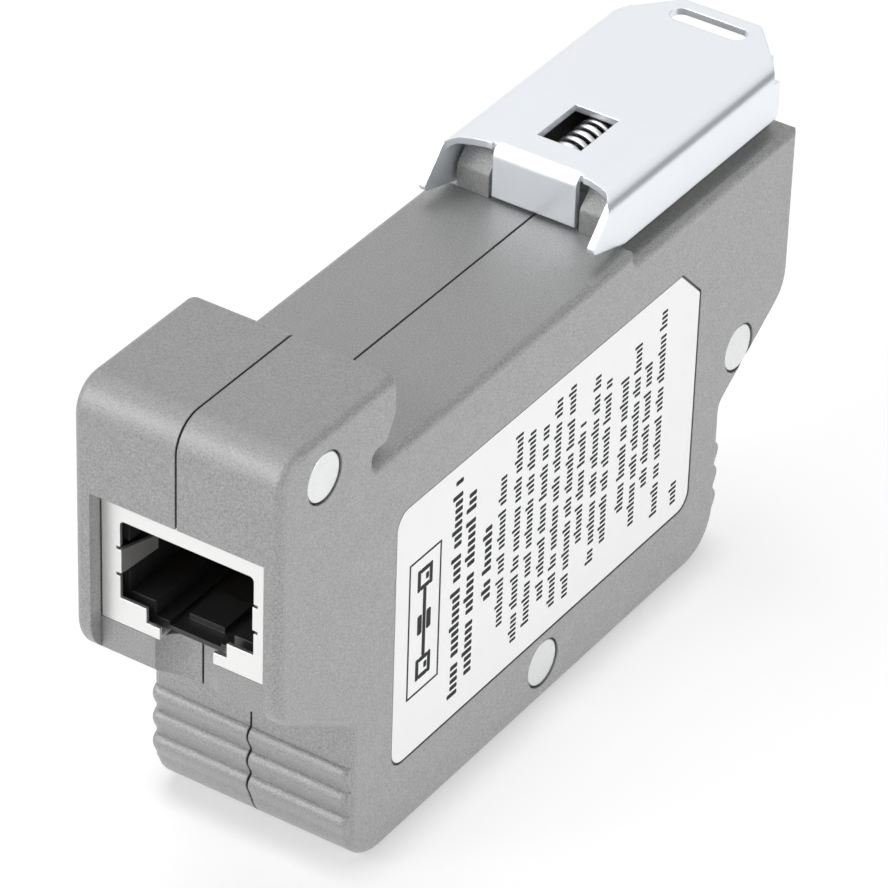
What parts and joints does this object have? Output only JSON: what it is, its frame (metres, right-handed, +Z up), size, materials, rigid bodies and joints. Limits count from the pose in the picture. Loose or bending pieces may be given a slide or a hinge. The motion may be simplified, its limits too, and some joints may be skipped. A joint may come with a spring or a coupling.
{
  "type": "rail-mounted network surge protector",
  "caption": "Slim rail-mounted surge protector for a network line: riveted grey shells, a shielded jack at each end, a hook and a sprung sheet-metal latch for a top-hat rail.",
  "frame": {"origin": "middle of the flat base, on the seam between the two shells and halfway between the jack faces", "axes": "+X towards the label side, +Y from the hook end to the latch end, +Z up from the base to the rail side"},
  "size_m": [0.0184, 0.0744, 0.043],
  "materials": {
    "housing": "satin fine-grained",
    "label": "satin film",
    "rivet_metal": "satin",
    "shield_sheet": "nickel plated",
    "jack_plastic": "moulded black",
    "contact_gold": "gold plated",
    "board": "solder mask",
    "tube_metal": "tinned caps and ceramic",
    "pack_plastic": "moulded black",
    "bronze": "spring bronze",
    "latch_sheet": "zinc plated",
    "spring_steel": "bare spring wire"
  },
  "bodies": {
    "housing": {"right_shell": "housing", "left_shell": "housing", "front_rivet": "rivet_metal", "bottom_rivet": "rivet_metal", "rear_rivet": "rivet_metal", "rating_label": "label", "front_jack_shield": "shield_sheet", "rear_jack_shield": "shield_sheet", "front_jack_body": "jack_plastic", "rear_jack_body": "jack_plastic", "front_jack_contacts": "contact_gold", "rear_jack_contacts": "contact_gold", "circuit_board": "board", "gas_tube_1": "tube_metal", "gas_tube_2": "tube_metal", "gas_tube_3": "tube_metal", "gas_tube_4": "tube_metal", "diode_pack_1": "pack_plastic", "diode_pack_2": "pack_plastic", "diode_pack_3": "pack_plastic", "diode_pack_4": "pack_plastic", "earth_contact": "bronze", "latch_spring": "spring_steel"},
    "latch": {"rail_latch": "latch_sheet"}
  },
  "joints": [
    {"name": "latch_slide", "type": "slide", "parent": "housing", "child": "latch", "axis": [0, 1, 0], "range_m": [0, 0.005], "stiffness_N_per_m": 600, "springref_m": -0.004, "deforming": ["latch_spring"]}
  ]
}
